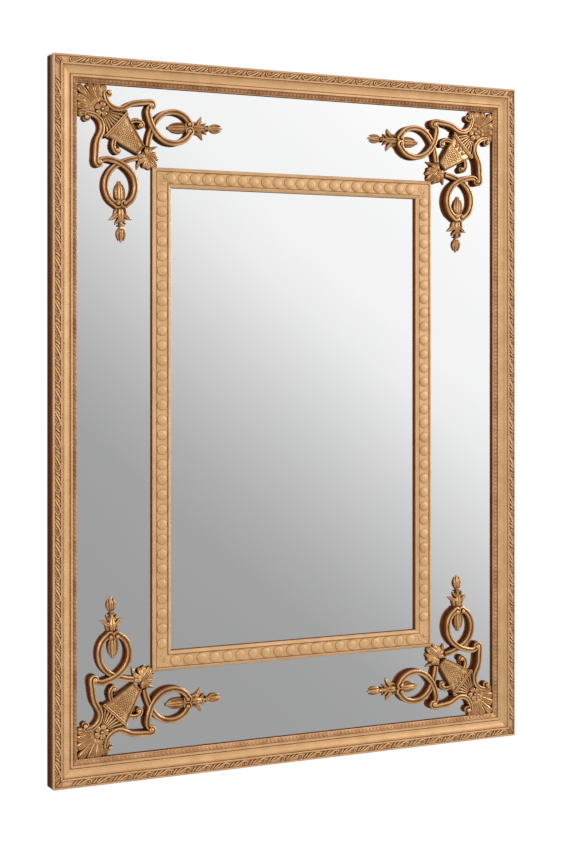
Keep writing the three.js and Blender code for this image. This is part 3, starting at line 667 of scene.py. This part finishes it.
# one pitch of the carving, from its eye at x 0: each leaf's line, half widths, height over half
# width and steps, and how far the part reaches along the rail
carvedParts = {
    # two slanting ribs and the low lobe of the border beside them
    "ribs": {"reach": (6, 25), "leaves": [
        ([(7.0, 5.6), (10.0, 8.4), (14.2, 12.8)], [1.3, 2.1, 1.3], 1.85, 3),
        ([(12.2, 4.7), (17.0, 9.2), (24.6, 13.0)], [1.3, 2.1, 1.1], 1.85, 3),
        ([(6.6, 3.6), (9.4, 4.3), (12.4, 3.6)], [0.8, 1.3, 0.8], 1.1, 2),
    ]},
    # leaf that leans the other way and curls round the eye
    "curl": {"reach": (-22, 5), "leaves": [
        ([(-21.5, 4.3), (-15.5, 6.4), (-9.0, 10.0), (-3.0, 12.4), (2.4, 11.6), (4.2, 8.4),
          (1.8, 5.5), (-1.8, 5.4), (-3.4, 7.2)],
         [0.9, 2.0, 2.1, 1.8, 1.5, 1.35, 1.2, 1.0, 0.6], 1.85, 2),
        ([(-13.0, 4.0), (-8.6, 6.0), (-4.8, 9.2)], [0.7, 1.5, 0.7], 1.7, 2),
        ([(-20, 3.6), (-13.5, 4.9), (-7, 3.6)], [0.7, 1.5, 0.7], 1.1, 2),
    ]},
}
carvedEye = {"centre": (0, 8.6), "height": 1.7, "radius": 1.8, "flat": 0.95, "segments": 8}


def carvedPart(name):
    pieces = [along(line, widths, ribSection(tall), steps)
              for line, widths, tall, steps in carvedParts[name]["leaves"]]
    if name == "curl":
        pieces.append(ball(**carvedEye))
    part = joinPieces(name, pieces)
    part.location.z = outerRail["ground"] * mm
    applyPlace(part)
    tidyMesh(part)
    return part


def mitreLeaves(length):
    # a leaf beside each mitre and three veins off it
    look = outerRail["mitreLeaf"]
    leaf, vein = leafSection(look["tall"]), roundSection(look["tall"])
    half = look["halfWidth"]
    outer, inner = look["span"]
    pieces = []
    for way in (-1, 1):
        def beside(share, off):
            # a share of the way from the outer to the inner end, and so far from the mitre
            inset = outer + (inner - outer) * share
            return (way * (length / 2 - inset - off), inset, outerRail["ground"])
        pieces.append(along(
            [beside(0, 2.6), beside(0.3, 2.9), beside(0.7, 2.9), beside(1, 2.4)],
            [0.7, half, half, 0.6], leaf, 3))
        for share in (0.25, 0.5, 0.75):
            pieces.append(along(
                [beside(share, 4.2), beside(share - 0.06, 6.4), beside(share - 0.14, 8.4)],
                [half * 0.6, half * 0.55, 0.3], vein, 2))
    return pieces


def carvedBand(side, parts):
    length = sides[side]["length"]
    start, pitch = outerRail["carving"][side]
    reach = length / 2 - outerRail["mitreLeaf"]["clear"]
    pieces = mitreLeaves(length)
    # more pitches than a rail holds: those that would meet the mitres' leaves are left out
    for index in range(-2, 40):
        eye = start + pitch * index
        for name, part in parts.items():
            low, high = carvedParts[name]["reach"]
            if eye + low > -reach and eye + high < reach:
                twin = copyPiece(part, "band")
                twin.location.x = eye * mm
                pieces.append(twin)
    return pieces


def slopeBead():
    # low dome, half of a stretched ball, for the sight edge
    look = outerRail["bead"]
    bead = ball((0, 0), 0, 1, segments=8)
    bead.scale = look["half"]
    applyPlace(bead)
    bisectAt(bead, (0, 0, -0.2), (0, 0, -1))
    bead.rotation_euler.x = radians(look["tilt"])
    bead.location = (0, look["inset"] * mm, look["rise"] * mm)
    applyPlace(bead)
    return bead


def slopeBeads(side, bead):
    pitch = outerRail["bead"]["pitch"]
    count = int((sides[side]["length"] / 2 - outerRail["toe"] - 3) / pitch)
    pieces = []
    for index in range(-count, count + 1):
        twin = copyPiece(bead, "slope bead")
        twin.location.x = index * pitch * mm
        pieces.append(twin)
    return pieces


def outerRails(material, darkEdgeShade, lighterEdgeShade):
    section, bead = outerSection(), slopeBead()
    parts = {name: carvedPart(name) for name in carvedParts}
    for side in sides:
        run = rail(side, section)
        roundCorners(run, side)
        pieces = [run] + carvedBand(side, parts) + slopeBeads(side, bead)
        # the lighter copy of the painted shade goes on the sides where the slope shows more lit
        edgeShade = lighterEdgeShade if side in outerRail["lighterShadeSides"] else darkEdgeShade
        finishRail("gilt_rail_" + side, side, pieces, material, "outer_frame_" + side, edgeShade)
    for spare in (*parts.values(), bead):
        bpy.data.objects.remove(spare)
    clearOutlines()
    print("outer rails made")


innerRail = {
    "inset": 177.4, "back": -4, "ground": 8.0, "coinInset": 194.05, "coinRadius": 9.0,
    # each step in from the disc's edge, and its lift
    "coinSteps": [(0.35, 0.75), (1.0, 0.8), (1.8, 0.6), (2.2, 0.35), (2.0, 0.1)],
    # how many discs each side has, their pitch, and how far their row is shifted along the side
    "discs": {
        "bottom": (20, 24.18, -2.2), "right": (31, 25.0, 8.7),
        "top": (22, 22.2, 6.8), "left": (31, 25.0, 0.9),
    },
}


def innerSection():
    # (inset, rise) over the outer rim, the ground of the discs and the inner rim to the tongue
    ground, back = innerRail["ground"], innerRail["back"]
    points = [
        (0, 0.3), (0, 4.8), (0.3, 5.6), (1.0, 6.3), (3.8, 8.9), (4.5, 9.4), (5.2, 9.4), (5.8, 8.9),
        (6.2, 7.3), (6.8, 7.3), (7.3, ground), (26.1, ground), (26.6, 7.3), (27.2, 7.3),
        (27.5, 8.9), (28.0, 9.4), (28.7, 9.4), (29.4, 9.0), (32.3, 6.9), (33.0, 6.2), (33.3, 5.4),
        (33.3, 0.3), (26.5, 0.3), (26.5, back), (6.8, back), (6.8, 0.3)]
    return drawOutline([(-(innerRail["inset"] + inset), rise) for inset, rise in points])


def coin():
    # low dome with a steep edge
    bpy.ops.mesh.primitive_cylinder_add(
        vertices=20, radius=innerRail["coinRadius"] * mm, depth=0.8 * mm, end_fill_type="NGON",
        location=(0, 0, (innerRail["ground"] - 0.1) * mm))
    disc = bpy.context.object
    disc.name = "coin"
    applyPlace(disc)
    editAll(disc)
    bpy.ops.mesh.select_all(action="DESELECT")
    leaveEdit()
    for face in disc.data.polygons:
        face.select = face.normal.z > 0.9
    bpy.ops.object.mode_set(mode="EDIT")
    for inset, lift in innerRail["coinSteps"]:
        bpy.ops.mesh.inset(thickness=inset * mm, depth=lift * mm)
    leaveEdit()
    return disc


def sprigs(side):
    # small crossed leaves at each mitre, and a berry where they cross
    middle, ground = innerRail["coinInset"], innerRail["ground"] - 0.3
    corner = sides[side]["length"] / 2 - middle
    leaf = leafSection(0.6)
    pieces = []
    for way in (-1, 1):
        def spot(across, off):
            return (way * (corner - off), middle + across, ground)
        for lean in (-1, 1):
            pieces.append(along(
                [spot(-lean * 7.4, 3.4 - lean * 7.4), spot(0, 9.0), spot(lean * 5.6, 13.6)],
                [0.8, 2.7, 0.7], leaf, 3))
            pieces.append(along(
                [spot(lean * 1.6, 4.6), spot(lean * 5.2, 6.0 + lean * 1.4), spot(lean * 7.2, 10.6)],
                [0.7, 1.8, 0.6], leaf, 3))
        pieces.append(ball(spot(0, 5.0)[:2], ground + 0.6, 2.1, 0.8, 8))
    return pieces


def innerRails(material):
    section, disc = innerSection(), coin()
    for side in sides:
        count, pitch, shift = innerRail["discs"][side]
        pieces = [rail(side, section)]
        for index in range(count):
            x = shift + pitch * (index - (count - 1) / 2)
            twin = copyPiece(disc, "coin")
            twin.location = (x * mm, innerRail["coinInset"] * mm, 0)
            pieces.append(twin)
        pieces += sprigs(side)
        finishRail("coin_rail_" + side, side, pieces, material, "inner_frame_" + side)
    bpy.data.objects.remove(disc)
    clearOutlines()
    print("inner rails made")


# mm from the corner of the sight opening, along one frame rail and then the other; an arm's lines
# are given as reach along it and offset from its middle line
ornament = {
    "base": 22.7, "axis": 67.5, "hub": (39.5, 39.5), "head": (116.5, 116.5),
    "shellKnob": (53.4, 11.6), "armKnob": (126.6, 31), "stemKnob": (107, 64.8),
    "outline": [
        (47.6, 21), (50.5, 28), (56, 34), (64.5, 38), (73, 38), (81.5, 34.5), (90, 30),
        (102, 27.5), (114, 26.6)],
    "outlineWidths": [
        1.2, 1.8, 2.4, 2.9, 3.4, 3.8, 4.1, 4.4, 4.6, 4.7, 4.6, 4.2, 3.4, 2.2, 1.4],
    "armOuter": [
        (127, -37.5), (121.5, -28), (122.5, -16), (126.5, -3), (134, 9.5), (146.5, 21),
        (161.5, 26), (177.5, 24.5), (190, 17.5), (196.5, 9)],
    "armInner": [
        (119, 32), (122, 18), (127.5, 3), (134, -9.5), (146.5, -21), (161.5, -26),
        (177.5, -24.5), (190, -17.5), (196.5, -9)],
    "armWidths": [4.4, 4.8, 4.8, 4.8, 4.8, 4.8, 4.6, 4.2, 3.6, 2.8, 1.8],
    "sideStem": [(88, 60), (94.5, 57.6), (102.5, 57.4), (108.5, 60.2)],
    "stemLeaf": [(92, 62), (99, 66), (104, 71)],
    "stemBands": [[(98, 52.6), (97.4, 57), (98, 61.4)], [(102.6, 52.8), (102, 57), (102.6, 61.2)]],
    "leafHorn": [(113, 103), (124, 104), (132, 101.5), (138.5, 99.5)],
    "kite": [(84, 47), (113, 99.5), (99.5, 113), (47, 84)],
    "baseBar": [(84.5, 44.5), (44.5, 84.5)],
    # degrees off the diagonal and reach; a leaf tip has its half width too
    "shellLobes": [
        (-54, 38), (-35, 40), (-17.5, 44.5), (0, 52.5), (17.5, 44.5), (35, 40), (54, 38)],
    "leafTips": [
        (60, 17.5, 4.6), (-60, 17.5, 4.6), (98, 15.5, 4.4), (-98, 15.5, 4.4),
        (138, 14.5, 4.2), (-138, 14.5, 4.2)],
}

# blunt bud inside the loop: three leaves wrapped on each other and a ring at their foot
bud = {
    "middle": [
        ([(195, 0), (187, 0), (177, 0), (167, 0), (157.5, 0)], [4.4, 6.0, 6.3, 5.2, 2.6],
         leafSection, 1.4),
        ([(190.5, -7.4), (189, 0), (190.5, 7.4)], [1.5, 2.0, 1.5], roundSection, 5),
    ],
    "beside": [
        ([(194, 3), (186, 6), (176, 7), (167.5, 5.6), (160.5, 2.6)], [2.4, 3, 2.8, 2.4, 1.0],
         leafSection, 2.3),
    ],
}

# calyx, cross leaves, neck and leafy bud beyond the loop
finial = {
    "middle": [
        ([(196, 0), (204, 0), (213, 0), (222, 0), (229, 0)], [4.4, 6.2, 6.8, 5.2, 3.4],
         leafSection, 1.3),
        ([(201, -6.6), (200.2, 0), (201, 6.6)], [1.6, 2.0, 1.6], roundSection, 4.9),
        ([(225, 0), (231, 0), (237, 0)], [3.6, 3.2, 3.6], roundSection, 2),
        ([(231.6, -5), (231, 0), (231.6, 5)], [1.5, 1.8, 1.5], roundSection, 4.6),
        ([(234, 0), (241, 0), (250, 0), (259.4, 0)], [3.2, 4.8, 4.4, 1.2], leafSection, 1.3),
    ],
    "beside": [
        ([(211, 2), (215, 8), (219, 14), (221.5, 20)], [3.4, 4.4, 3.2, 0.9], leafSection, 1.7),
        ([(199, 3), (205, 7.2), (212, 9.4), (216.5, 11.4)], [1.6, 2.8, 2.6, 1.0],
         leafSection, 2.5),
        ([(219, 2), (224.5, 6), (229.5, 9.8)], [2.6, 2.8, 0.9], leafSection, 2.5),
        ([(236, 2), (242, 5), (249, 5.8), (256.4, 4.4)], [1.8, 2.7, 2.3, 0.8], leafSection, 2.4),
    ],
}


def onArm(points):
    return [(reach, ornament["axis"] + offset) for reach, offset in points]


def armLeaves(leaves):
    pieces = [along(onArm(line), widths, section(tall))
              for line, widths, section, tall in leaves["middle"]]
    for way in (-1, 1):
        for line, widths, section, tall in leaves["beside"]:
            turned = [(reach, way * offset) for reach, offset in line]
            pieces.append(along(onArm(turned), widths, section(tall)))
    return pieces


def aimed(centre, degreesOff, reach, height=0.0):
    # a place so far from a centre, turned off the diagonal that points away from the frame's corner
    angle = radians(45 + degreesOff)
    return (centre[0] + reach * cos(angle), centre[1] + reach * sin(angle), height)


def ray(centre, degreesOff, steps):
    # a line out from a centre, each step its reach and height
    return [aimed(centre, degreesOff, reach, height) for reach, height in steps]


def diagonal(centre, down, offset):
    # a place so far down the ornament's middle line and off to its side
    return (centre[0] + (down + offset) / 2 ** 0.5, centre[1] + (down - offset) / 2 ** 0.5)


def outlineScroll():
    # from the knob beside the shell to the knob where the arm starts
    first, last = ornament["shellKnob"], ornament["armKnob"]
    tail, head = curl(first, 180, -1.15, 5.2, 1.6), curl(last, -90, 1.15, 5.0, 2.2)
    line = tail[::-1] + ornament["outline"] + head
    return [
        along(line, ornament["outlineWidths"], scrollSection(2.9)),
        ball(first, 11, 3.8, 0.8),
        ball(last, 12, 4.7, 0.72),
        ball((last[0], last[1] - 0.4), 3, 6.4, 1.3),  # foot that carries the second knob
    ]


def armLoop():
    pieces = []
    for way, name, tall in ((1, "armOuter", 2.7), (-1, "armInner", 2.25)):
        end = [(reach, way * offset) for reach, offset in curl((195, 5.6), 15, -1.1, 3.8, 1.4)]
        line = onArm(ornament[name] + end)
        pieces.append(along(line, ornament["armWidths"], scrollSection(tall)))
        pieces.append(ball((194.4, ornament["axis"] + way * 6), 12, 3.5, 0.85))
    return pieces


def sideStem():
    # stem that curls up beside the kite, its leaf and bands, and the horn beside the leaf head
    knob = ornament["stemKnob"]
    line = ornament["sideStem"] + curl(knob, -60, 0.85, 4.4, 2)
    pieces = [
        along(line, [3.6, 3.4, 3.2, 2.8, 2.2, 1.6], scrollSection(3.3)),
        ball(knob, 9.4, 3.9, 0.8),
        along(ornament["stemLeaf"], [2, 2.6, 0.6], leafSection(2.4)),
    ]
    pieces += [along(band, [1.2, 1.5, 1.2], roundSection(8)) for band in ornament["stemBands"]]
    pieces.append(along(ornament["leafHorn"], [4.2, 3.8, 2.6, 0.8], leafSection(2.1)))
    return pieces


def shell():
    # seven lobes with raised round ends, fanned from the rosette
    hub = ornament["hub"]
    lobe = lobeSection(0.86)
    pieces = []
    for off, reach in ornament["shellLobes"]:
        line = ray(hub, 180 + off, [
            (8, 4.6), (reach * 0.4, 3.6), (reach * 0.66, 2.8), (reach - 4.5, 3.2),
            (reach - 1.4, 1.4), (reach - 0.2, -2)])
        pieces.append(along(line, [1.8, 3.5, 5.4, 6.6, 6.2, 4.4], lobe, 3))
    ground = [aimed(hub, 180 + off, reach - 3.5) for off, reach in ornament["shellLobes"]]
    ground += [aimed(hub, off, reach) for off, reach in ((-77, 17), (-48, 36), (48, 36), (77, 17))]
    pieces.append(plate(ground, 4.2))
    return pieces


def skirt():
    # nine thin rays that run from the rosette to the bar
    hub, bar = ornament["hub"], ornament["baseBar"]
    section = roundSection(1.5)
    pieces = [plate([aimed(hub, -84, 16), *bar, aimed(hub, 84, 16)], 6)]
    for index in range(9):
        off = (index - 4) * 10.5
        line = ray(hub, off, [(9, 5.4), (20, 5.6), (33.5 / cos(radians(off)), 5.8)])
        pieces.append(along(line, [0.9, 1.7, 2.3], section, 3))
    return pieces


def rosette():
    # five petals round a boss, and a ruffled collar on the shell's side
    hub = ornament["hub"]
    petal = lobeSection(0.6)
    pieces = []
    for index in range(5):
        line = ray(hub, 72 * index + 20, [(1.5, 7.8), (5, 8.6), (9.4, 8.2), (12.4, 6)])
        pieces.append(along(line, [1.6, 4, 5.4, 3], petal))
    pieces.append(ball(hub, 12, 2.6, 0.8))
    for index in range(6):
        line = ray(hub, 180 + (index - 2.5) * 30, [(10, 5), (15, 5.8), (19.4, 5), (21, 2.6)])
        pieces.append(along(line, [2.6, 5, 4.8, 2.4], lobeSection(0.55)))
    return pieces


# down the kite from the hub: its scales in rows, and its curls by the bar
kiteDetail = {
    "level": 8.5, "rimInset": 1.2,
    "scaleRadius": 1.9, "rows": 13, "firstRow": 51.5, "rowPitch": 3.3,
    "curls": [(38.6, (-13.5, -4.6, 4.6, 13.5)), (45.6, (-9.2, 0, 9.2))],
}


def kitePanel():
    # raised panel with a border along three sides and the bar along the fourth
    corners = ornament["kite"]
    pieces = [plate(corners, kiteDetail["level"])]
    middle = Vector([sum(corner[axis] for corner in corners) / 4 for axis in (0, 1)])
    rim = roundSection(7.4)
    for start, end in zip(corners[:3], corners[1:]):
        inward = Vector((end[1] - start[1], start[0] - end[0])).normalized()
        inward *= kiteDetail["rimInset"]
        if inward.dot(middle - Vector(start)) < 0:
            inward = -inward
        line = [(point[0] + inward.x, point[1] + inward.y) for point in (start, end)]
        pieces.append(along(line, [1.65, 1.65], rim, straight=True))
    pieces.append(along(ornament["baseBar"], [2.7, 2.7], scrollSection(4.15), straight=True))
    return pieces + kiteScales() + kiteCurls()


def kiteScales():
    radius = kiteDetail["scaleRadius"]
    scale = ball((0, 0), 0, radius, 0.7, 6)
    pieces = []
    for row in range(kiteDetail["rows"]):
        down = kiteDetail["firstRow"] + row * kiteDetail["rowPitch"]
        # the kite's half width here, less its border
        half = 24.5 - (down - 32) * 0.284 - 3.6
        count = int(half / radius)
        for step in range(-count, count + 1):
            if (step + row) % 2 == 0:
                x, y = diagonal(ornament["hub"], down, step * radius)
                twin = copyPiece(scale, "scale")
                twin.location = (x * mm, y * mm, kiteDetail["level"] * mm)
                pieces.append(twin)
    bpy.data.objects.remove(scale)
    return pieces


def kiteCurls():
    level = kiteDetail["level"]
    pieces = []
    for down, offsets in kiteDetail["curls"]:
        for offset in offsets:
            spot = diagonal(ornament["hub"], down, offset)
            ring = [(*point, level - 1) for point in curl(spot, 30, 0.85, 2.9, 2.5, 7)]
            pieces.append(along(ring, [1.3, 1.2, 1], roundSection(2.2), 3))
            pieces.append(ball(spot, level + 0.3, 1.4, segments=8))
    return pieces


def leafHead():
    # plump round-ended leaves with dark slits between
    head = ornament["head"]
    pieces = [plate([aimed(head, step * 45, 10) for step in range(8)], 5.5)]
    main = ray(head, 0, [(-8, 3), (0, 4.6), (9, 4.8), (18, 3), (24.4, -0.6)])
    pieces.append(along(main, [2.6, 5.6, 8.2, 7.2, 3.6], lobeSection(0.82)))
    for way in (-1, 1):
        beside = [aimed(head, way * turn, reach, height) for turn, reach, height in (
            (75, 4, 4), (50, 10, 4.6), (36, 17, 3), (30, 21.6, -0.6))]
        pieces.append(along(beside, [1.8, 4, 4.4, 2.2], leafSection(1.2)))
    for off, reach, width in ornament["leafTips"]:
        line = ray(head, off, [
            (1, 5), (reach * 0.42, 6.4), (reach * 0.74, 5), (reach - 1.6, 1.8), (reach, -1.4)])
        widths = [width * share for share in (0.4, 0.8, 1, 0.86, 0.5)]
        pieces.append(along(line, widths, leafSection(1.15), 3))
    return pieces


def joinFlat(name, pieces, material):
    # the casting lies flat: what a piece has below its back is cut away first
    for piece in pieces:
        applyPlace(piece)
        if min(corner.co.z for corner in piece.data.vertices) < -0.01 * mm:
            bisectAt(piece, (0, 0, 0), (0, 0, -1))
    whole = joinPieces(name, pieces)
    tidyMesh(whole)
    dress(whole, material)
    return whole


def cornerCasting(material, kiteMaterial):
    arm = outlineScroll() + armLoop() + armLeaves(bud) + armLeaves(finial) + sideStem()
    arm = joinFlat("arm", arm, material)
    # the second arm is the first, seen across the diagonal
    other = copyPiece(arm, "arm across")
    putAt(other, Matrix(((0, 1, 0, 0), (1, 0, 0, 0), (0, 0, 1, 0), (0, 0, 0, 1))))
    middle = joinFlat("shell and leaf", shell() + skirt() + rosette() + leafHead(), material)
    kite = joinFlat("kite", kitePanel(), kiteMaterial)
    clearOutlines()
    casting = joinPieces("corner casting", [arm, other, middle, kite])
    smoothBy(casting, 38)
    return casting


# which way each casting's arms run, and how far it is turned (degrees) and shifted (mm), as set
# by hand on the real mirror
corners = {
    "top_left": (1, -1, 2.2, (3.8, 1.4)), "top_right": (-1, -1, 2.4, (3.2, 1.5)),
    "bottom_left": (1, 1, -2.5, (0.7, 3.7)), "bottom_right": (-1, 1, 1.4, (4.2, -0.8)),
}


def cornerOrnaments(material, kiteMaterial):
    casting = cornerCasting(material, kiteMaterial)
    toe, axis = outerRail["toe"], ornament["axis"]
    for name, (wayX, wayY, turn, shift) in corners.items():
        twin = copyPiece(casting, "casting_" + name)
        x, y = -wayX * panel["wide"] / 2, 0 if wayY > 0 else panel["high"]
        place = panelPlace @ Matrix.Translation((x * mm, y * mm, ornament["base"] * mm))
        place = place @ Matrix.Diagonal((wayX, wayY, 1, 1))
        place = place @ Matrix.Translation(((toe + shift[0]) * mm, (toe + shift[1]) * mm, 0))
        # turned about the crossing of its arms' middle lines
        place = place @ Matrix.Translation((axis * mm, axis * mm, 0))
        place = place @ Matrix.Rotation(radians(-turn), 4, "Z")
        putAt(twin, place @ Matrix.Translation((-axis * mm, -axis * mm, 0)))
        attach(twin, "frame")
        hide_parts("corner_ornament_" + name)
    bpy.data.objects.remove(casting)
    print("corner ornaments made")


def dressNodes(frameMaterial):
    # what the CAD gives stays as it is, in its own material
    silver = mirrorMaterial()
    board, zinc, rubber = (wornMaterial(name, look) for name, look in hiddenLooks.items())
    for name, node in nodes.items():
        if any(word in name for word in ("screw", "clip", "hanger", "key")):
            dress(node, zinc)
        elif "mirror" in name:
            dress(node, silver)
        elif "board" in name:
            dress(node, board)
        elif "pad" in name:
            dress(node, rubber)
        else:
            dress(node, frameMaterial)
    print("plates, board and hardware dressed")


setCamera()
setStudio()
bpy.context.scene.view_settings.view_transform = "Standard"

moulding = giltMaterial("light gilding", mouldingLook)
dressNodes(moulding)
outerRails(
    moulding, giltMaterial("sight edge shade gilding", sightEdgeShadeLook), giltMaterial("lighter sight edge shade", lighterEdgeShadeLook))
innerRails(giltMaterial("inner gilding", innerLook))
cornerOrnaments(
    giltMaterial("dark gilding", castingLook), giltMaterial("bright gilding", kiteLook))
